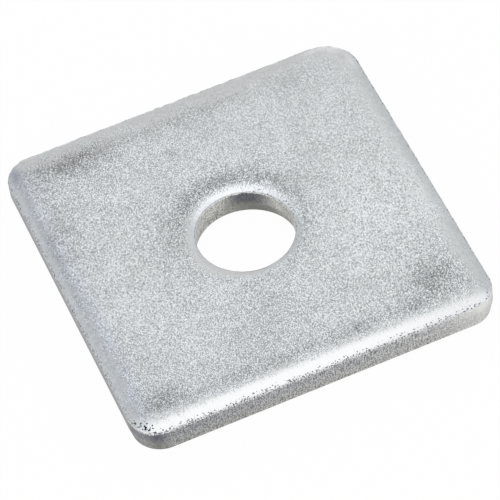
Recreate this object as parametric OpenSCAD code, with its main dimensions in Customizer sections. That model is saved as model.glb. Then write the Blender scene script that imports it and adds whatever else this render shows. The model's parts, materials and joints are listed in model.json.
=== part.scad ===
// Square plate washer, blanked and pierced from steel plate.
// The rim and the hole both have the section that a punch and die leave in thick plate:
// a rolled upper edge, then a straight sheared land, then a break that tapers to the underside.
// The frame has +Z up along the bolt, and its origin on the underside, on the bolt's axis.

/* [Plate] */
// Length of each side, over the sheared land
side = 50; // [36:0.5:120]
// Thickness of the plate
thickness = 4.7; // [3.5:0.05:12]

/* [Corners] */
// Radius of the corner at -X -Y
front_corner_r = 4.35; // [3:0.05:9]
// Radius of the corner at +X -Y
right_corner_r = 3.65; // [3:0.05:9]
// Radius of the corner at +X +Y
back_corner_r = 5; // [3:0.05:9]
// Radius of the corner at -X +Y
left_corner_r = 3.9; // [3:0.05:9]

/* [Rim section] */
// Width of the rolled edge, from the land in to the flat face
rim_roll_w = 2.6; // [0.9:0.05:2.9]
// Depth of the rolled edge, from the flat face down to the land
rim_roll_h = 0.75; // [0.1:0.05:0.85]
// Height of the break, from the underside up to the land
rim_break_h = 1.9; // [0.4:0.05:2.6]
// How far the break draws in from the land at the underside
rim_break_w = 0.36; // [0.05:0.01:0.8]

/* [Bolt hole] */
// Diameter of the hole at its sheared land
hole_d = 13; // [6:0.1:24]
// Width of the rolled mouth, from the land out to the flat face
hole_roll_w = 1.5; // [0.9:0.05:3]
// Depth of the rolled mouth, from the flat face down to the land
hole_roll_h = 0.7; // [0.1:0.05:0.85]
// Height of the hole's break, from the underside up to the land
hole_break_h = 1.85; // [0.4:0.05:2.6]
// How far the hole opens out from the land at the underside
hole_break_w = 0.38; // [0.05:0.01:0.8]

/* [Hidden] */
$fn = 192;

// Corners in order round the plate: which way each one lies from the middle, and its radius
corner_way = [[-1, -1], [1, -1], [1, 1], [-1, 1]];
corner_r = [front_corner_r, right_corner_r, back_corner_r, left_corner_r];
corners = [0 : len(corner_r) - 1];
function after(k) = (k + 1) % len(corner_r);
function arc_centre(k) = (side / 2 - corner_r[k]) * corner_way[k];

hole_r = hole_d / 2;
// Cutting shapes run this far past the metal
overrun = 1;

// Section of what is lost where a square upper edge, with its corner at the origin, rolls over:
// an arc leaves the face at a tangent, w back from the corner, and meets the land h below it
module roll_off(w, h) {
    arc_r = (w * w + h * h) / (2 * h);
    translate([-w, -arc_r])
        difference() {
            square([w + overrun, arc_r + overrun]);
            circle(r = arc_r);
        }
}

// Section of the metal behind the rim, from x = 0 out to the land at x = depth
module rim_section(depth) {
    difference() {
        polygon([
            [0, 0], [depth - rim_break_w, 0], [depth, rim_break_h],
            [depth, thickness], [0, thickness]
        ]);
        translate([depth, thickness]) roll_off(rim_roll_w, rim_roll_h);
    }
}

// Rounded corner k, turned about the centre of its arc
module rim_corner(k) {
    translate(arc_centre(k))
        rotate(180 + 90 * k)
            rotate_extrude(angle = 90)
                rim_section(corner_r[k]);
}

// Straight side from corner k to the one after it
module rim_side(k) {
    depth = max(corner_r[k], corner_r[after(k)]);
    rotate(90 * k)
        translate([side / 2 - corner_r[after(k)], depth - side / 2, 0])
            rotate([90, 0, -90])
                linear_extrude(side - corner_r[k] - corner_r[after(k)])
                    rim_section(depth);
}

// Blank with its finished rim, before it is pierced
module blank() {
    linear_extrude(thickness)
        polygon([for (k = corners) arc_centre(k)]);
    for (k = corners) {
        rim_corner(k);
        rim_side(k);
    }
}

// What the piercing punch takes out: the break and land, and the rolled mouth round them
module pierced_hole() {
    underside_r = hole_r + hole_break_w;
    rotate_extrude() {
        polygon([
            [0, -overrun], [underside_r, -overrun], [underside_r, 0], [hole_r, hole_break_h],
            [hole_r, thickness + overrun], [0, thickness + overrun]
        ]);
        translate([hole_r, thickness]) mirror([1, 0]) roll_off(hole_roll_w, hole_roll_h);
    }
}

module plate_washer() {
    color("silver")
        difference() {
            blank();
            pierced_hole();
        }
}

plate_washer();
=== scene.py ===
import json
import math
from functools import partial
from types import SimpleNamespace

import bpy
import numpy as np
from mathutils import Matrix, Vector


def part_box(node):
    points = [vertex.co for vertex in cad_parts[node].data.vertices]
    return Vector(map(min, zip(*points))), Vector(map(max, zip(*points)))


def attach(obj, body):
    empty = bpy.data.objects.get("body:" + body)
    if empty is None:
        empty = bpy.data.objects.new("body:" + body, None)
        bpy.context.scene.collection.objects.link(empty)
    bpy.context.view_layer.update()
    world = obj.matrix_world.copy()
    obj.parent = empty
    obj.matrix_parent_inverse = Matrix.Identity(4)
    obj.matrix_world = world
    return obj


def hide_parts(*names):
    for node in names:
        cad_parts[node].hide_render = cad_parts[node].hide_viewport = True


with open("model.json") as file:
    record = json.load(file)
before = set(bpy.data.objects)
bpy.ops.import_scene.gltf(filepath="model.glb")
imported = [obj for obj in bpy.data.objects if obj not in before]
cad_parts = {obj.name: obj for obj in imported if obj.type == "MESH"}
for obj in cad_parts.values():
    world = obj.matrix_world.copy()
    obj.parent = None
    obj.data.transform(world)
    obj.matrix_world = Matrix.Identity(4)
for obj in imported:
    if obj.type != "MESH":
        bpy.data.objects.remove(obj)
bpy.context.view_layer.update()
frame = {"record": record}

# The plate washer is one piece of mild steel, blanked from strip and pierced with a round punch, then
# barrel plated with bright zinc. Each cut pulls the upper edge down into a soft roll, shears a straight
# land below it, and tears through the rest in a rough break that tapers to the underside.
MM = 0.001
plate_low, plate_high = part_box("plate_washer")
half_side = (plate_high.x - plate_low.x) / 2 / MM
thickness = (plate_high.z - plate_low.z) / MM
bolt_hole = next(m for m in frame["record"]["mounts"] if m["name"] == "bolt_hole")
hole_r = bolt_hole["dims"]["r_mm"]

# Corner radii in order round from +X +Y, and the sections of the two sheared edges, in millimetres.
# A roll, a shallow dish behind it and a tight lip at the land draw the face down together. The grid
# follows an edge for the width of its band. Tears are so many columns wide, and have their own seed.
corner_r = np.array([5.0, 3.9, 4.35, 3.65])
rim_edge = {
    "roll_depth": 0.60, "roll_reach": 3.6, "roll_power": 3, "dish_depth": 0.05, "dish_reach": 6.0,
    "lip_r": 0.12, "break_h": 1.9, "break_w": 0.36, "band": 2.8, "tear_columns": 1.2, "seed": 11}
hole_edge = {
    "roll_depth": 0.41, "roll_reach": 2.75, "roll_power": 5, "dish_depth": 0.09, "dish_reach": 5.0,
    "lip_r": 0.1, "break_h": 1.85, "break_w": 0.38, "band": 2.3, "tear_columns": 5, "seed": 23}

# At the front the mouth of the hole has only a share of its roll's depth, and its land leans back to the
# top by the opening. Both fade towards the back. On the right the break flares out towards the underside.
near_mouth_share = 0.6
near_mouth_opening = {"most": 0.26, "power": 2}
hole_flare = {"most": 0.1, "middle_deg": 22.0, "half_turn_deg": 30.0}

# The underside's edge is eased by an arc. The break is bitten back at random, by so many times the usual
# bite at most. The top of the land is torn up and down, up by so many deviations at most, and the tear
# fades out along the roll.
eased_edge_r = 0.12
break_bite = 0.05
bite_most = 3
bite_rows = 1.2
torn_line = 0.04
torn_most = 2
torn_reach = 0.6

# Grid columns round the washer, and grid rows on each part of the section. Those of the land and of the
# roll crowd towards the lip between them.
columns = 960
ease_rows, break_rows, land_rows, lip_rows = 3, 8, 7, 4
roll_rows, face_rows, under_rows = 12, 18, 9
crowding = 1.5
quarter_turn = math.pi / 2


def rim_line():
    """Points along the rim's land at equal steps, with their outward normals. Side k faces 90 k degrees
    round from +X. It runs straight from the last corner's arc to its own, and then turns 90 degrees on
    that arc."""
    corner_before = np.roll(corner_r, 1)
    straight = 2 * half_side - corner_before - corner_r
    lengths = np.stack([straight, corner_r * quarter_turn], axis=1).ravel()
    starts = np.concatenate([[0.0], np.cumsum(lengths)])
    s = np.arange(columns) / columns * starts[-1]
    stretch = np.searchsorted(starts, s, side="right") - 1
    along = s - starts[stretch]
    k = stretch // 2
    on_arc = stretch % 2 == 1
    side_turn = quarter_turn * k
    facing = np.stack([np.cos(side_turn), np.sin(side_turn)], axis=1)
    heading = np.stack([-np.sin(side_turn), np.cos(side_turn)], axis=1)
    turn = side_turn + np.where(on_arc, along / corner_r[k], 0.0)
    normal = np.stack([np.cos(turn), np.sin(turn)], axis=1)
    on_side = half_side * facing + (corner_before[k] - half_side + along)[:, None] * heading
    arc_centre = (half_side - corner_r[k])[:, None] * (facing + heading)
    return np.where(on_arc[:, None], arc_centre + corner_r[k][:, None] * normal, on_side), normal


def rim_inset(x, y):
    """How far a point lies in from the rim's land: the distance to a square with rounded corners, with
    the radius of the corner in the point's own quarter of the plate."""
    r = corner_r[np.where(y >= 0, np.where(x >= 0, 0, 1), np.where(x >= 0, 3, 2))]
    qx = np.abs(x) - half_side + r
    qy = np.abs(y) - half_side + r
    return r - np.minimum(np.maximum(qx, qy), 0) - np.hypot(np.maximum(qx, 0), np.maximum(qy, 0))


def rolled(inset, edge, share=1.0):
    """Depth of a rolled edge below the flat face. The roll is a power of the part of its reach that is
    left, times the share of its full depth that it has there. The dish behind it is the square of its own
    part, and the lip is a quarter circle that ends upright."""
    roll = share * edge["roll_depth"] * np.clip(1 - inset / edge["roll_reach"], 0, 1) ** edge["roll_power"]
    dish = edge["dish_depth"] * np.clip(1 - inset / edge["dish_reach"], 0, 1) ** 2
    lip = edge["lip_r"] * (1 - np.sqrt(1 - np.clip(1 - inset / edge["lip_r"], 0, 1) ** 2))
    return roll + dish + lip


def uneven(row_count, wide, tall, seed):
    """Smooth random relief on the grid, of mean 0 and deviation 1: white noise blurred with a bell curve,
    whose own deviation is `wide` columns and `tall` rows. It wraps round both ways."""
    noise = np.random.default_rng(seed).standard_normal((row_count, columns))
    keep_rows = np.exp(-2 * (math.pi * tall * np.fft.fftfreq(row_count)) ** 2)
    keep_columns = np.exp(-2 * (math.pi * wide * np.fft.fftfreq(columns)) ** 2)
    smooth = np.fft.ifft2(np.fft.fft2(noise) * np.outer(keep_rows, keep_columns)).real
    return (smooth - smooth.mean()) / smooth.std()


def sheared_edge(edge, share, opening):
    """Section of one sheared edge for every column, row by row from the underside up over the roll: how
    far each point lies in from the land, its height, and its drop below the land's top (less than 0 on
    the roll). An eased arc leads from the underside into the sloping break, then come the upright land,
    the lip and the roll. Each column's roll has its share of the full depth, and its land leans back to
    the top by the opening. The land's top is torn up and down, and the break is bitten back at random."""
    land_top = thickness - rolled(0.0, edge, share)
    ease_turn = np.arange(ease_rows) / ease_rows * quarter_turn
    break_share = np.arange(break_rows) / break_rows
    land_share = 1 - (1 - np.arange(land_rows) / land_rows) ** crowding
    lip_turn = np.arange(lip_rows) / lip_rows * quarter_turn
    lip_inset = edge["lip_r"] * (1 - np.cos(lip_turn))
    roll_share = (np.arange(roll_rows) / (roll_rows - 1)) ** crowding
    roll_inset = edge["lip_r"] + (edge["band"] - edge["lip_r"]) * roll_share
    top_inset = np.concatenate([lip_inset, roll_inset])
    below_land = np.zeros(ease_rows + break_rows)
    inset = np.concatenate([
        edge["break_w"] + eased_edge_r * (1 - np.sin(ease_turn)),
        edge["break_w"] * (1 - break_share),
        np.zeros(land_rows),
        top_inset,
    ])[:, None] + np.zeros(columns)
    break_height = np.concatenate([
        eased_edge_r * (1 - np.cos(ease_turn)),
        eased_edge_r + (edge["break_h"] - eased_edge_r) * break_share,
    ])[:, None] + np.zeros(columns)
    height = np.concatenate([
        break_height,
        edge["break_h"] + (land_top - edge["break_h"]) * land_share[:, None],
        thickness - rolled(top_inset[:, None], edge, share),
    ])

    torn_share = np.concatenate([
        below_land, land_share ** 2, np.clip(1 - top_inset / torn_reach, 0, 1) ** 2])
    torn = torn_line * np.minimum(uneven(1, edge["tear_columns"], 1, edge["seed"]), torn_most)
    height += torn_share[:, None] * torn
    bite_share = np.zeros(len(inset))
    bite_share[ease_rows:ease_rows + break_rows] = np.sin(math.pi * break_share)
    bite = uneven(len(inset), edge["tear_columns"], bite_rows, edge["seed"] + 1)
    inset += break_bite * bite_share[:, None] * np.clip(1 + bite, 0, bite_most)
    on_wall = np.arange(len(inset)) < len(below_land) + land_rows
    drop = np.where(on_wall[:, None], land_top + torn - height, -inset)
    lean_share = np.concatenate([below_land, land_share, 1 - top_inset / edge["band"]])
    inset += lean_share[:, None] * opening
    return inset, np.minimum(height, thickness), drop


def bell(distance, reach):
    """A soft spot: 1 at its middle, falling as a bell curve that is down to about a third at its reach."""
    return np.exp(-(distance / reach) ** 2)


def way_round(direction):
    """Which way a point lies from the middle, or a direction leads, in degrees round from +X."""
    return np.degrees(np.arctan2(direction[..., 1], direction[..., 0]))


def turned_from(way, middle):
    """The smallest turn between two ways, both in degrees round from +X."""
    return np.abs((way - middle + 180) % 360 - 180)


def arc_spot(way, arc, falloff=1):
    """A soft spot on a turn about the bolt: a bell curve of the share of the arc's half turn that a way
    lies from its middle, with that share raised to the falloff."""
    return bell((turned_from(way, arc["middle_deg"]) / arc["half_turn_deg"]) ** falloff, 1.0)


def washer_skin():
    """The whole skin as one grid that closes both ways. Its columns run round the washer. Its rows climb
    the rim's edge, cross the face in straight lines to the hole's edge, go down that and come back
    underneath. Gives each point's place, its drop below the top of its land, and how far it lies from the
    rim and from the hole. Gives each column's points on the two lands, and its normal on the rim's."""
    rim_point, rim_normal = rim_line()
    inset, rim_z, rim_drop = sheared_edge(rim_edge, np.ones(columns), np.zeros(columns))
    rim_xy = rim_point - inset[:, :, None] * rim_normal

    radial = rim_point / np.hypot(rim_point[:, 0], rim_point[:, 1])[:, None]
    nearness = (1 - radial[:, 1]) / 2
    mouth_share = 1 - (1 - near_mouth_share) * nearness
    opening = near_mouth_opening["most"] * nearness ** near_mouth_opening["power"]
    out, hole_z, hole_drop = sheared_edge(hole_edge, mouth_share, opening)
    flare = hole_flare["most"] * arc_spot(way_round(radial), hole_flare)
    out += flare * np.clip(1 - hole_z / hole_edge["break_h"], 0, 1)
    hole_xy = (hole_r + out)[:, :, None] * radial

    to_hole = np.arange(1, face_rows) / face_rows
    face_xy = rim_xy[-1] + to_hole[:, None, None] * (hole_xy[-1] - rim_xy[-1])
    to_rim = (1 - np.cos(math.pi * np.arange(1, under_rows) / under_rows)) / 2
    under_xy = hole_xy[0] + to_rim[:, None, None] * (rim_xy[0] - hole_xy[0])
    xy = np.concatenate([rim_xy, face_xy, hole_xy[::-1], under_xy])
    from_rim = rim_inset(xy[:, :, 0], xy[:, :, 1])
    from_hole = np.hypot(xy[:, :, 0], xy[:, :, 1]) - hole_r
    face = slice(len(rim_xy), len(rim_xy) + len(face_xy))
    face_z = thickness - rolled(from_rim[face], rim_edge) - rolled(from_hole[face], hole_edge, mouth_share)
    z = np.concatenate([rim_z, face_z, hole_z[::-1], np.zeros(under_xy.shape[:2])])
    near_edge = np.minimum(from_rim, from_hole)
    drop = np.concatenate([rim_drop, -near_edge[face], hole_drop[::-1], -near_edge[-len(under_xy):]])
    return SimpleNamespace(
        xy=xy, z=z, drop=drop, from_rim=from_rim, from_hole=from_hole,
        rim_point=rim_point, rim_normal=rim_normal, hole_point=hole_r * radial)


# Width of the satin border along each side of the rim, and how softly the frosting starts behind it. Round
# the hole the border is widest at the front left.
rim_border = {"left": 1.3, "right": 2.0, "front": 2.0, "back": 2.8}
rim_border_softness = {"left": 1.0, "right": 1.6, "front": 0.6, "back": 2.2}
hole_border = {"mean": 0.95, "swing": 0.55, "most_deg": 222.0}
hole_border_softness = 0.5
# The frosting is strongest at the front right and weakest at the back right. An arc of it behind the hole
# is stronger too. The left side has a blue cast.
frost_to_front, frost_to_front_right = 0.20, 0.33
hole_frost = {"middle_deg": 120.0, "half_turn_deg": 75.0, "out": 2.6, "reach": 1.9, "most": 0.35}
blue_cast = {"inset": 1.8, "reach": 1.5}

# Darker and lighter spots: place, reach along X and Y, and how dull, which is less than 0 where they are
# lighter. The stains, marks and smudges are in the plating. The edge and side shades are painted shade, the
# painted highlights are painted light on the rolls, and the lighter patches only make the face lighter.
stains_and_painted_light = {
    "back left stain": (-15.5, 21.0, 6.0, 2.2, 0.82),
    "left corner stain": (-23.6, 22.5, 0.9, 1.8, 0.7),
    "front left stain": (-20.2, -20.5, 3.0, 1.8, 0.75),
    "right corner stain": (18.6, -18.6, 3.6, 3.2, 0.85),
    "back right mark": (15.2, 20.3, 1.6, 0.9, 0.3),
    "back mark": (-4.0, 16.3, 1.0, 0.9, 0.5),
    "front smudge": (7.0, -21.6, 1.5, 0.8, 0.7),
    "front right smudge": (14.5, -21.8, 1.6, 0.7, 0.6),
    "back edge shade": (2.0, 21.7, 22.0, 1.5, 0.5),
    "front edge shade": (0.0, -21.9, 22.0, 1.2, 0.5),
    "left edge shade": (-23.65, 6.0, 0.6, 22.0, 0.62),
    "left side shade": (-21.6, 10.0, 2.2, 14.0, 0.28),
    "right lighter patch": (16.5, -5.0, 6.0, 6.0, -0.8),
    "left lighter patch": (-13.5, -8.0, 8.0, 6.5, -0.5),
    "back right lighter patch": (15.5, 12.0, 5.0, 4.0, -0.5),
    "back left lighter patch": (-14.5, 13.5, 4.0, 2.5, -0.45),
    "right edge painted highlight": (22.8, 1.0, 1.0, 18.0, -0.3),
    "back corner painted highlight": (22.6, 23.0, 1.5, 1.4, -0.6),
    "back corner left painted highlight": (20.2, 24.1, 2.2, 0.7, -0.6),
    "back corner right painted highlight": (24.1, 20.6, 0.7, 2.2, -0.6),
    "front roll painted highlight": (-8.0, -24.1, 40.0, 1.5, -1.05),
}
# The same in arcs round the hole, which lie so far out from it: painted shade behind the far side, a
# painted highlight on the far roll, and a darker arc at the right
hole_arcs_with_painted_light = {
    "far painted shade": {"middle_deg": 90.0, "half_turn_deg": 80.0, "out": 2.3, "reach": 1.8, "most": 0.85},
    "far roll painted highlight": {"middle_deg": 74.0, "half_turn_deg": 80.0, "out": 0.5, "reach": 0.7, "most": -1.5},
    "right darker arc": {"middle_deg": 325.0, "half_turn_deg": 35.0, "out": 0.9, "reach": 1.3, "most": 0.6},
}

# Where the walls are darker: burnished by the tools, and painted shade. In the hole that goes by the way
# that a point lies from the middle, with one arc for the land and one for the break. Both arcs are burnish
# with painted shade for the floor in the hole's shadow that the far wall mirrors. The shades at the hole's
# left and right ends are painted shade.
hole_burnish_and_shade_arc = {"middle_deg": 65.0, "half_turn_deg": 26.5}
hole_break_burnish_and_shade_arc = {"middle_deg": 56.0, "half_turn_deg": 38.0}
burnish_and_shade_falloff = 1.4
hole_left_shade = {"middle_deg": 165.0, "half_turn_deg": 35.0, "most": 0.42}
hole_right_shade = {"middle_deg": 0.0, "half_turn_deg": 23.0, "land": 0.42, "break": 0.85}
# On the rim it goes by the way that the wall faces: a burnished arc at one corner, over painted shade. The
# front is darker towards its left end, and the other sides are shaded as a power of how squarely they face
# sideways or back.
rim_burnish = {"middle_deg": 244.0, "half_turn_deg": 17.0}
front_shade = {"most": 0.50, "power": 1.5}
side_shade, back_shade, squareness = 0.95, 0.3, 4
# The wall near the right corner is rubbed lighter and carries a painted highlight
rubbed_highlight_corner = {"x": 23.2, "y": -25.0, "reach": 5.5}
# Where the roll's smooth plating reaches down past the torn line: place, reach, and how far down
roll_dips = {
    "front left corner": (-24.2, -23.1, 2.0, 0.28),
    "right corner": (22.3, -25.0, 2.0, 0.22),
}
# How pitted the torn line is, most of all at the front left corner, and in the hole at the right
rim_pits = {"middle_deg": 224.0, "half_turn_deg": 50.0, "front": 0.66, "other": 0.32}
hole_pits = {"mean": 0.25, "swing": 0.35, "most_deg": 0.0}


def by_side(values, across, along):
    """A value for a place on the plate, from -1 to 1 each way: a mean of the values given for the four
    sides, weighted by how near each one is."""
    beside = (values["left"] * (1 - across) + values["right"] * (1 + across)) / 2
    ahead = (values["front"] * (1 - along) + values["back"] * (1 + along)) / 2
    to_side, to_end = across ** 2, along ** 2
    return (beside * to_side + ahead * to_end) / (to_side + to_end)


def round_swing(way, swing):
    """A value that changes with the way round: a mean with a cosine swing, which is most at one way."""
    return swing["mean"] + swing["swing"] * np.cos(np.radians(way - swing["most_deg"]))


def hole_arc(skin, way, arc):
    """A soft arc round the hole: a bell curve of the turn from its middle, times one of how far out it is,
    times the most that it comes to."""
    return arc["most"] * bell(skin.from_hole - arc["out"], arc["reach"]) * arc_spot(way, arc)


def hole_burnish_and_painted_shade(skin, way):
    """How burnished and shaded the hole's wall is: the most of a dark arc of burnish with painted shade,
    with its own middle on the break and on the land, and of the painted shades at its left and right ends."""
    on_break = skin.z < hole_edge["break_h"]
    dark_break = arc_spot(way, hole_break_burnish_and_shade_arc, burnish_and_shade_falloff)
    dark = np.where(on_break, dark_break, arc_spot(way, hole_burnish_and_shade_arc, burnish_and_shade_falloff))
    left = hole_left_shade["most"] * arc_spot(way, hole_left_shade)
    right = np.where(on_break, hole_right_shade["break"], hole_right_shade["land"])
    return np.maximum(np.maximum(dark, left), right * arc_spot(way, hole_right_shade))


def rim_burnish_and_painted_shade(skin):
    """How burnished and shaded the rim's wall is: a burnished arc at one corner, laid over painted shades
    that follow how squarely the wall faces to a side, back, or to the front, and there how far it lies from
    the right end."""
    faces_x, faces_y = skin.rim_normal[:, 0], skin.rim_normal[:, 1]
    from_right = np.clip((half_side - skin.xy[:, :, 0]) / (2 * half_side), 0, 1)
    shade = front_shade["most"] * from_right ** front_shade["power"] * np.clip(-faces_y, 0, 1)
    shade += side_shade * faces_x ** squareness + back_shade * np.clip(faces_y, 0, 1) ** squareness
    return 1 - (1 - arc_spot(way_round(skin.rim_normal), rim_burnish)) * (1 - shade)


def rim_pitting(skin):
    """How pitted the rim is: the more of an arc at one corner, and of how squarely it faces the front."""
    faces_front = np.clip(-skin.rim_normal[:, 1], 0, 1)
    by_facing = rim_pits["other"] + (rim_pits["front"] - rim_pits["other"]) * faces_front
    return np.maximum(arc_spot(way_round(skin.rim_normal), rim_pits), by_facing)


def finish_and_painted_light(skin):
    """The values that the finish follows, for every point of the skin. Frost goes from 0 to 1 across the
    inner side of the satin border. Stains are soft spots and arcs added up, with painted shade and painted
    highlights among them. The place on an edge is the column's point on the nearer land, with the drop as
    its third measure."""
    x, y = skin.xy[:, :, 0], skin.xy[:, :, 1]
    way = way_round(skin.xy)
    across, along = x / half_side, y / half_side
    at_hole = skin.from_hole < skin.from_rim
    near_edge = np.minimum(skin.from_rim, skin.from_hole)
    border = np.where(at_hole, round_swing(way, hole_border), by_side(rim_border, across, along))
    softness = np.where(at_hole, hole_border_softness, by_side(rim_border_softness, across, along))
    strength = 1 - frost_to_front * along - frost_to_front_right * across * along
    stain = sum(
        dull * bell(np.hypot((x - at_x) / reach_x, (y - at_y) / reach_y), 1.0)
        for at_x, at_y, reach_x, reach_y, dull in stains_and_painted_light.values())
    stain = stain + sum(hole_arc(skin, way, arc) for arc in hole_arcs_with_painted_light.values())
    from_rubbed_highlight_corner = np.hypot(x - rubbed_highlight_corner["x"], y - rubbed_highlight_corner["y"])
    foot = np.where(at_hole[:, :, None], skin.hole_point, skin.rim_point)
    return {
        "drop": skin.drop,
        "frost": 0.5 + (near_edge - border) / (2 * softness),
        "frost_strength": strength + hole_arc(skin, way, hole_frost),
        "stain": np.where(skin.z > thickness / 2, stain, 0.0),
        "burnish_and_painted_shade": np.where(at_hole, hole_burnish_and_painted_shade(skin, way), rim_burnish_and_painted_shade(skin)),
        "blue_cast": bell(half_side + x - blue_cast["inset"], blue_cast["reach"]),
        "rubbed_highlight": bell(from_rubbed_highlight_corner, rubbed_highlight_corner["reach"]),
        "roll_dip": sum(
            depth * bell(np.hypot(x - at_x, y - at_y), reach)
            for at_x, at_y, reach, depth in roll_dips.values()),
        "pits": np.where(at_hole, round_swing(way, hole_pits), rim_pitting(skin)),
        "in_hole": at_hole.astype(float),
        "edge_place": np.concatenate([foot, skin.drop[:, :, None]], axis=2) * MM,
    }


def grid_mesh(name, points, finish):
    """A mesh of four-sided faces over a grid of points that wraps round both ways, smooth shaded, with
    every value of the finish, or vector of three, carried on its points."""
    row_count, column_count = points.shape[:2]
    index = np.arange(row_count * column_count).reshape(row_count, column_count)
    next_row = np.roll(index, -1, axis=0)
    corners = [index, np.roll(index, -1, axis=1), np.roll(next_row, -1, axis=1), next_row]
    quads = np.stack(corners, axis=2).reshape(-1, 4)
    mesh = bpy.data.meshes.new(name)
    mesh.from_pydata(points.reshape(-1, 3) * MM, [], quads)
    for label, values in finish.items():
        if values.ndim == 3:
            mesh.attributes.new(label, "FLOAT_VECTOR", "POINT").data.foreach_set("vector", values.ravel())
        else:
            mesh.attributes.new(label, "FLOAT", "POINT").data.foreach_set("value", values.ravel())
    mesh.polygons.foreach_set("use_smooth", np.ones(len(quads), bool))
    mesh.update()
    return mesh


def blank_material(name):
    """A new material with an empty node tree."""
    material = bpy.data.materials.new(name)
    material.use_nodes = True
    material.node_tree.nodes.clear()
    return material


def set_input(tree, socket, value):
    """Gives a node's input a link from another node, or a value of its own."""
    if isinstance(value, bpy.types.NodeSocket):
        tree.links.new(value, socket)
    else:
        socket.default_value = value


def add_node(tree, kind, inputs, **settings):
    """Adds a shader node with its settings and inputs. Returns its first output, if it has one."""
    node = tree.nodes.new("ShaderNode" + kind)
    for name, value in settings.items():
        setattr(node, name, value)
    for name, value in inputs.items():
        set_input(tree, node.inputs[name], value)
    return node.outputs[0] if node.outputs else None


def arithmetic(tree, operation, a, b=0.0):
    """One step of arithmetic on two values."""
    return add_node(tree, "Math", {0: a, 1: b}, operation=operation)


def soft_ramp(tree, value, span, low=0.0, high=1.0):
    """A smooth step from `low` to `high`, as the value goes from the start of the span to its end."""
    start, end = span
    return add_node(tree, "MapRange", {
        "Value": value, "From Min": start, "From Max": end, "To Min": low, "To Max": high},
        interpolation_type="SMOOTHSTEP")


def blend_values(tree, factor, a, b):
    """A mix of two values: `a` where the factor is 0, and `b` where it is 1."""
    return add_node(tree, "Mix", {0: factor, 2: a, 3: b})


def blend_colours(tree, factor, a, b):
    """A mix of two colours, each the output of a node or three shares of red, green and blue."""
    node = tree.nodes.new("ShaderNodeMix")
    node.data_type = "RGBA"
    set_input(tree, node.inputs[0], factor)
    for socket, colour in ((node.inputs[6], a), (node.inputs[7], b)):
        set_input(tree, socket, (*colour, 1.0) if isinstance(colour, tuple) else colour)
    return node.outputs[2]


# Noises in the plating: size in millimetres, detail and roughness. Grain is drawn out along Y, and grit
# and scores down the walls, by the scale of their places. Crystals and pit dots are cells of a given size.
noises = {
    "grain": (0.085, 1.0, 0.5), "smudge": (0.5, 2.0, 0.6), "cloud": (2.4, 3.0, 0.55),
    "drift": (9.0, 2.0, 0.5), "grit": (0.13, 2.0, 0.7), "scores": (0.2, 2.0, 0.6),
    "tatter": (0.2, 3.0, 0.7), "pits": (0.2, 2.0, 0.6),
}
drawn_out = {"grain": (1.0, 0.8, 1.0), "grit": (1.0, 1.0, 0.6), "scores": (1.0, 1.0, 0.2)}
crystal_mm, pit_dot_mm = 0.09, 0.33
# Shares of the second pattern where two are mixed
crystal_share, pit_dot_share, sheen_grain_share, score_share = 0.4, 0.5, 0.6, 0.3

# Spans of a pattern's value, over which it goes from one look to the other
whole = (0.0, 1.0)
noise_swing, wide_swing = (0.3, 0.7), (0.25, 0.75)
grain_edge, sheen_edge, score_edge, pit_edge = (0.468, 0.548), (0.36, 0.64), (0.43, 0.57), (0.555, 0.58)
# How far patterns shift the edge of the frosting, and the balance of dark and light grains. In stains and
# painted shade the grains are darker on the whole, and uneven, and in painted highlights they are lighter.
# Frost of strength 1 has this contrast, either side of half.
frost_shift = {"cloud": 0.25, "scores": 0.4}
grain_shift = {"stain": -0.05, "drift": 0.02, "cloud": 0.014, "smudge": 0.01, "uneven stain": 0.07}
grain_half_contrast = 0.48

# Where the walls and their parts start, by the drop below the land's top in millimetres. The start of the
# wall is tattered, and a little higher on the rim. Scores shift the start of the break.
wall_start, break_start = (0.04, 0.16), (1.7, 2.3)
wall_rise = {"rim": 0.08, "hole": 0.0}
tatter_reach = {"rim": 0.45, "hole": 0.25}
break_shift = 0.5
# Burnish and painted shade are thinner between scores and on the break, and the rubbed highlight is
# thinner lower down
burnish_and_shade_scores, burnish_and_shade_between_scores = (0.3, 0.6), 0.75
burnish_and_shade_fade, burnish_and_shade_on_break = (0.9, 2.1), {"rim": 0.85, "hole": 0.95}
rubbed_highlight_fade, rubbed_highlight_lower = (0.6, 1.6), 0.6
# Pits lie in a band along the torn line, and are rare outside it. The drops at which the band starts and is
# full go from the first to the second of each pair where the pits are at their most, and it ends over a
# span. The pattern is shifted to give fewer pits outside the band, and where there are to be few.
most_pitted = (0.8, 1.0)
pit_band_start, pit_band_full = (-0.8, -1.6), (-0.35, -0.7)
pit_band_end = (0.0, 0.25)
pit_band_shift = {"outside": -0.2, "inside": 0.0}
pit_shift = {"few": -0.15, "most": 0.02}

# Colours of the zinc: dark and light grains of the frosted face, the light ones partly painted glints, the
# satin of the rolls, and what stains, painted shade and painted highlights make of them. Those show over a
# span of dullness, up to a share.
grains_and_glints = {"dark": (0.395, 0.411, 0.417), "light": (0.945, 0.98, 1.0)}
blue_grains_and_glints = {"dark": (0.362, 0.388, 0.429), "light": (0.895, 0.943, 1.0)}
stained_and_shaded_grain = (0.16, 0.16, 0.164)
face_stain_and_shade, face_stain_and_shade_span, face_stain_and_shade_share = (0.36, 0.36, 0.37), (0.0, 1.0), 0.12
satins = {"dark": (0.575, 0.584, 0.586), "light": (0.705, 0.714, 0.717)}
# The rolls take this painted highlight colour where the stain value is below 0
painted_highlight, painted_highlight_span, painted_highlight_share = (0.95, 0.955, 0.96), (0.0, -1.0), 0.85
satin_stain_and_shade, blue_satin_stain_and_shade = (0.36, 0.362, 0.365), (0.34, 0.37, 0.45)
satin_stain_and_shade_span, satin_stain_and_shade_share = (0.0, 2.0), 0.9
deep_stain_and_shade, deep_stain_and_shade_span, deep_stain_and_shade_share = (0.13, 0.14, 0.18), (1.0, 2.0), 0.8
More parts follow.
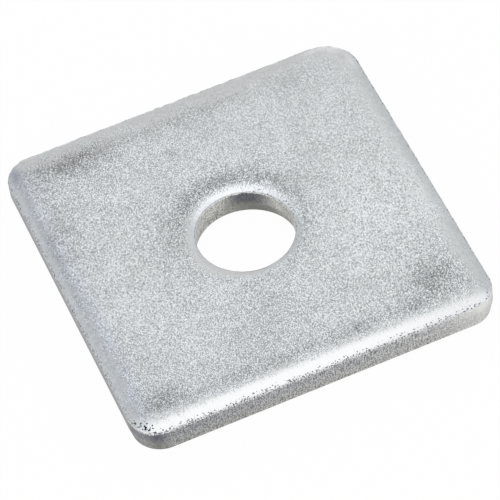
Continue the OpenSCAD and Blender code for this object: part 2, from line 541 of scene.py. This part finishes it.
# Colours of the walls, in and between their scores, and where they are rubbed with a painted highlight,
# burnished with painted shade, or pitted
walls = {
    "rim land": ((0.18, 0.182, 0.183), (0.72, 0.723, 0.728)),
    "rim break": ((0.19, 0.19, 0.184), (0.74, 0.74, 0.725)),
    "hole land": ((0.25, 0.248, 0.23), (0.74, 0.737, 0.70)),
    "hole break": ((0.19, 0.188, 0.17), (0.70, 0.697, 0.66)),
}
rubbed_highlight_wall = (0.76, 0.757, 0.73)
burnished_and_shaded = {
    "rim land": (0.108, 0.112, 0.13),
    "hole land": (0.085, 0.088, 0.107),
    "break": (0.18, 0.18, 0.165),
}
faint_pit, full_pit = (0.5, 0.5, 0.5), (0.02, 0.02, 0.024)

# Roughness of the finish, and how much each pattern counts in the height of its relief
face_roughness = {"satin": 0.20, "frosted": 0.23}
wall_roughness = {"land": 0.32, "break": 0.5}
grain_relief, score_relief = {"satin": 0.03, "frosted": 0.6}, {"satin": 0.3, "frosted": 0.1}
grit_relief = {"land": 0.5, "break": 1.0}
bump_mm = 0.03


def zinc_plate():
    """Bright zinc over sheared steel. The faces are frosted with fine bright and dark grains, the bright
    ones partly painted glints, the rolled edges are smooth and satin with painted highlights and painted
    shade, the walls are grey with upright scores, burnished dark here and there and darkened by painted
    shade, and pitted along the torn line where wall and roll meet."""
    material = blank_material("zinc_plate")
    tree = material.node_tree
    add, subtract, multiply = (partial(arithmetic, tree, step) for step in ("ADD", "SUBTRACT", "MULTIPLY"))
    ramp, blend, mix_colour = (partial(make, tree) for make in (soft_ramp, blend_values, blend_colours))
    place = tree.nodes.new("ShaderNodeTexCoord").outputs["Object"]

    def carried(name, output="Fac"):
        """A value or vector of the finish that the mesh carries."""
        node = tree.nodes.new("ShaderNodeAttribute")
        node.attribute_name = name
        return node.outputs[output]

    def stretched(vector, name):
        """Places scaled for a pattern that is drawn out."""
        return add_node(tree, "Mapping", {"Vector": vector, "Scale": drawn_out[name]})

    def noise(name, vector=place):
        """One of the named noises, from about 0 to 1."""
        size_mm, detail, roughness = noises[name]
        return add_node(tree, "TexNoise", {
            "Vector": vector, "Scale": 1 / (size_mm * MM), "Detail": detail, "Roughness": roughness})

    def cells(size_mm, output, vector=place):
        """Random cells of a given size: a colour for each one, or the distance from its middle."""
        node = tree.nodes.new("ShaderNodeTexVoronoi")
        node.inputs["Scale"].default_value = 1 / (size_mm * MM)
        tree.links.new(vector, node.inputs["Vector"])
        return node.outputs[output]

    def swing(pattern, amount, span=noise_swing):
        """A pattern turned into a swing of the amount, either side of 0."""
        return ramp(pattern, span, -amount, amount)

    def rim_or_hole(values):
        """The value for the edge that a point is nearer to."""
        return ramp(in_hole, whole, values["rim"], values["hole"])

    def satin_or_frosted(values):
        """The value for satin, going over to that for frosting."""
        return ramp(frosted, whole, values["satin"], values["frosted"])

    def land_or_break(values):
        """The value for the land, going over to that for the break."""
        return ramp(on_break, whole, values["land"], values["break"])

    drop, dip, stain, blue = carried("drop"), carried("roll_dip"), carried("stain"), carried("blue_cast")
    in_hole, pits, strength = carried("in_hole"), carried("pits"), carried("frost_strength")
    grain_place, edge_place = stretched(place, "grain"), carried("edge_place", "Vector")
    grain = noise("grain", grain_place)
    grit = noise("grit", stretched(edge_place, "grit"))
    scores = noise("scores", stretched(edge_place, "scores"))
    smudge, cloud, drift, tatter = noise("smudge"), noise("cloud"), noise("drift"), noise("tatter")

    # Where each look lies
    frost = add(carried("frost"), swing(cloud, frost_shift["cloud"]))
    frosted = ramp(add(frost, swing(scores, frost_shift["scores"])), whole)
    wall_drop = subtract(add(drop, rim_or_hole(wall_rise)), dip)
    tattered = multiply(swing(tatter, 1.0, wide_swing), rim_or_hole(tatter_reach))
    on_wall = ramp(add(wall_drop, tattered), wall_start)
    on_break = ramp(add(drop, swing(scores, break_shift, wide_swing)), break_start)
    burnish_and_painted_shade = multiply(carried("burnish_and_painted_shade"), ramp(scores, burnish_and_shade_scores, burnish_and_shade_between_scores, 1.0))
    burnish_and_painted_shade = multiply(burnish_and_painted_shade, ramp(drop, burnish_and_shade_fade, 1.0, rim_or_hole(burnish_and_shade_on_break)))
    rubbed_highlight = multiply(carried("rubbed_highlight"), ramp(drop, rubbed_highlight_fade, 1.0, rubbed_highlight_lower))
    at_most_pitted = ramp(pits, most_pitted)
    band_start = ramp(at_most_pitted, whole, *pit_band_start)
    band_full = ramp(at_most_pitted, whole, *pit_band_full)
    in_band = multiply(ramp(drop, (band_start, band_full)), ramp(add(drop, dip), pit_band_end, 1.0, 0.0))
    pit_grain = blend(pit_dot_share, noise("pits"), subtract(1.0, cells(pit_dot_mm, "Distance")))
    pit_grain = add(pit_grain, ramp(in_band, whole, pit_band_shift["outside"], pit_band_shift["inside"]))
    pitted = ramp(add(pit_grain, ramp(pits, whole, pit_shift["few"], pit_shift["most"])), pit_edge)

    # The frosted face, the satin, and their stains, painted shade and painted highlights
    shift = add(multiply(stain, grain_shift["stain"]), swing(drift, grain_shift["drift"]))
    shift = add(shift, swing(cloud, grain_shift["cloud"]))
    shift = add(shift, swing(smudge, grain_shift["smudge"]))
    shift = add(shift, multiply(stain, swing(tatter, grain_shift["uneven stain"])))
    half_contrast = multiply(strength, grain_half_contrast)
    speckle = blend(crystal_share, grain, cells(crystal_mm, "Color", grain_place))
    speckle = ramp(add(speckle, shift), grain_edge, subtract(0.5, half_contrast), add(0.5, half_contrast))
    dark_grain = mix_colour(stain, mix_colour(blue, grains_and_glints["dark"], blue_grains_and_glints["dark"]), stained_and_shaded_grain)
    face = mix_colour(speckle, dark_grain, mix_colour(blue, grains_and_glints["light"], blue_grains_and_glints["light"]))
    sheen = ramp(blend(sheen_grain_share, smudge, grain), sheen_edge)
    satin = mix_colour(sheen, satins["dark"], satins["light"])
    satin = mix_colour(ramp(stain, painted_highlight_span, 0.0, painted_highlight_share), satin, painted_highlight)
    dull_satin = mix_colour(blue, satin_stain_and_shade, blue_satin_stain_and_shade)
    satin = mix_colour(ramp(stain, satin_stain_and_shade_span, 0.0, satin_stain_and_shade_share), satin, dull_satin)
    satin = mix_colour(ramp(stain, deep_stain_and_shade_span, 0.0, deep_stain_and_shade_share), satin, deep_stain_and_shade)
    face = mix_colour(frosted, satin, face)
    face = mix_colour(ramp(stain, face_stain_and_shade_span, 0.0, face_stain_and_shade_share), face, face_stain_and_shade)

    # The walls, and the pits over all
    scored = ramp(blend(score_share, grit, scores), score_edge)
    wall = {part: mix_colour(scored, *colours) for part, colours in walls.items()}
    rim_wall = mix_colour(on_break, wall["rim land"], wall["rim break"])
    hole_wall = mix_colour(on_break, wall["hole land"], wall["hole break"])
    any_wall = mix_colour(rubbed_highlight, mix_colour(in_hole, rim_wall, hole_wall), rubbed_highlight_wall)
    dark_land = mix_colour(in_hole, burnished_and_shaded["rim land"], burnished_and_shaded["hole land"])
    any_wall = mix_colour(burnish_and_painted_shade, any_wall, mix_colour(on_break, dark_land, burnished_and_shaded["break"]))
    colour = mix_colour(on_wall, face, any_wall)
    colour = mix_colour(pitted, colour, mix_colour(pits, faint_pit, full_pit))

    roughness = blend(on_wall, satin_or_frosted(face_roughness), land_or_break(wall_roughness))
    grain_height = multiply(multiply(grain, strength), satin_or_frosted(grain_relief))
    face_height = add(grain_height, multiply(scores, satin_or_frosted(score_relief)))
    height = blend(on_wall, face_height, multiply(grit, land_or_break(grit_relief)))
    bump = add_node(tree, "Bump", {"Height": height, "Strength": 1.0, "Distance": bump_mm * MM})
    shader = add_node(tree, "BsdfPrincipled", {
        "Base Color": colour, "Metallic": 1.0, "Roughness": roughness, "Normal": bump})
    add_node(tree, "OutputMaterial", {"Surface": shader})
    return material


def put_in_scene(name, data):
    """A new object that holds the mesh or camera, at the origin of the scene."""
    new_object = bpy.data.objects.new(name, data)
    bpy.context.scene.collection.objects.link(new_object)
    return new_object


skin = washer_skin()
skin_points = np.concatenate([skin.xy, skin.z[:, :, None]], axis=2)
washer = put_in_scene("square_plate_washer", grid_mesh("square_plate_washer", skin_points, finish_and_painted_light(skin)))
washer.data.materials.append(zinc_plate())
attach(washer, "root")
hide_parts("plate_washer")

# The floor is a wide sheet of white paper, matt, that the washer lies flat on. It shows as white itself,
# and still takes the washer's soft shadow.
floor_half = 6.0
paper_white = 0.95
paper_glow = 0.97


def white_paper():
    """Matt white paper, with a share of plain white for the rays of the camera, of gloss and of glass."""
    material = blank_material("white_paper")
    tree = material.node_tree
    ray = tree.nodes.new("ShaderNodeLightPath").outputs
    seen = arithmetic(tree, "MAXIMUM", ray["Is Camera Ray"], ray["Is Glossy Ray"])
    seen = arithmetic(tree, "MAXIMUM", seen, ray["Is Transmission Ray"])
    share = arithmetic(tree, "MULTIPLY", seen, paper_glow)
    matt = add_node(tree, "BsdfDiffuse", {"Color": (paper_white, paper_white, paper_white, 1)})
    white = add_node(tree, "Emission", {"Color": (1, 1, 1, 1), "Strength": 1.0})
    paper = add_node(tree, "MixShader", {0: share, 1: matt, 2: white})
    add_node(tree, "OutputMaterial", {"Surface": paper})
    return material


floor_mesh = bpy.data.meshes.new("floor")
floor_corners = np.array([[-1, -1, 0], [1, -1, 0], [1, 1, 0], [-1, 1, 0]]) * floor_half
floor_mesh.from_pydata(floor_corners + np.array([0, 0, plate_low.z]), [], [(0, 1, 2, 3)])
floor_mesh.materials.append(white_paper())
floor = put_in_scene("floor", floor_mesh)

# The studio is a white tent, darker low down, with one broad soft box over the top and a dim seam between
# the two on the far side. Its left and right are a little bluer. Box and seam are placed by the slope of a
# direction: how far it goes to the right, or away from the camera, for each unit that it rises.
view_azimuth = math.radians(-16.037)
least_rise = 0.02
tent_low_level, tent_high_level, seam_level, box_level = 0.84, 1.0, 0.52, 1.08
side_tint = (0.92, 0.95, 0.985)
# Each soft edge goes from none of a thing to all of it
tent_height = (0.49, 0.84)
box_middle = 0.08
box_half_width = (1.55, 0.30)
box_far_edge = (0.85, 0.35)
box_near_edge = (-1.40, -0.80)
seam_half_width = (1.14, 0.49)
seam_far_edge = (0.80, 0.71)
left_tint_edge, right_tint_edge = (0.0, -0.4), (0.0, 0.8)

world = bpy.data.worlds.new("studio")
bpy.context.scene.world = world
world.use_nodes = True
sky = world.node_tree
sky.nodes.clear()
sky_math, sky_ramp = partial(arithmetic, sky), partial(soft_ramp, sky)
ray_direction = sky.nodes.new("ShaderNodeTexCoord").outputs["Generated"]
from_camera = add_node(
    sky, "VectorRotate", {"Vector": ray_direction, "Angle": -view_azimuth}, rotation_type="Z_AXIS")
split_direction = sky.nodes.new("ShaderNodeSeparateXYZ")
sky.links.new(from_camera, split_direction.inputs[0])
to_right, to_far, upward = split_direction.outputs
rise = sky_math("MAXIMUM", upward, least_rise)
right_slope = sky_math("DIVIDE", to_right, rise)
far_slope = sky_math("DIVIDE", to_far, rise)
from_box_middle = sky_math("ABSOLUTE", sky_math("SUBTRACT", right_slope, box_middle))
past_near_edge = sky_ramp(far_slope, box_near_edge)
in_box = sky_math("MULTIPLY", sky_ramp(from_box_middle, box_half_width), sky_ramp(far_slope, box_far_edge))
in_box = sky_math("MULTIPLY", in_box, past_near_edge)
in_seam = sky_math("MULTIPLY", sky_ramp(far_slope, seam_far_edge), past_near_edge)
in_seam = sky_math("MULTIPLY", in_seam, sky_ramp(sky_math("ABSOLUTE", right_slope), seam_half_width))
level = sky_ramp(upward, tent_height, tent_low_level, tent_high_level)
level = blend_values(sky, in_seam, level, seam_level)
level = blend_values(sky, in_box, level, box_level)
at_side = sky_math("MAXIMUM", sky_ramp(to_right, left_tint_edge), sky_ramp(to_right, right_tint_edge))
tint = blend_colours(sky, at_side, (1.0, 1.0, 1.0), side_tint)
backdrop = add_node(sky, "Background", {"Color": tint, "Strength": level})
add_node(sky, "OutputWorld", {"Surface": backdrop})

# The camera looks down at the washer from the front left, from far off with a long lens, and is turned a
# little so that the front edge rises to the right.
image_px = 500
focal_px = 3873.3
sensor_mm = 36.0
view_elevation = math.radians(51.296)
view_roll = math.radians(-8.882)
view_distance = 506.5 * MM
view_target = Vector((0.292, 0.047, 0.0)) * MM
view_back = Vector((
    math.sin(view_azimuth) * math.cos(view_elevation),
    -math.cos(view_azimuth) * math.cos(view_elevation),
    math.sin(view_elevation)))
level_right = Vector((math.cos(view_azimuth), math.sin(view_azimuth), 0))
level_up = view_back.cross(level_right)
view_right = math.cos(view_roll) * level_right + math.sin(view_roll) * level_up
view_up = math.cos(view_roll) * level_up - math.sin(view_roll) * level_right
long_lens = bpy.data.cameras.new("camera")
long_lens.sensor_width = sensor_mm
long_lens.lens = sensor_mm * focal_px / image_px
camera = put_in_scene("camera", long_lens)
turned = Matrix((view_right, view_up, view_back)).transposed()
camera.matrix_world = Matrix.Translation(view_target + view_distance * view_back) @ turned.to_4x4()
bpy.context.scene.camera = camera
bpy.context.scene.view_settings.view_transform = "Standard"
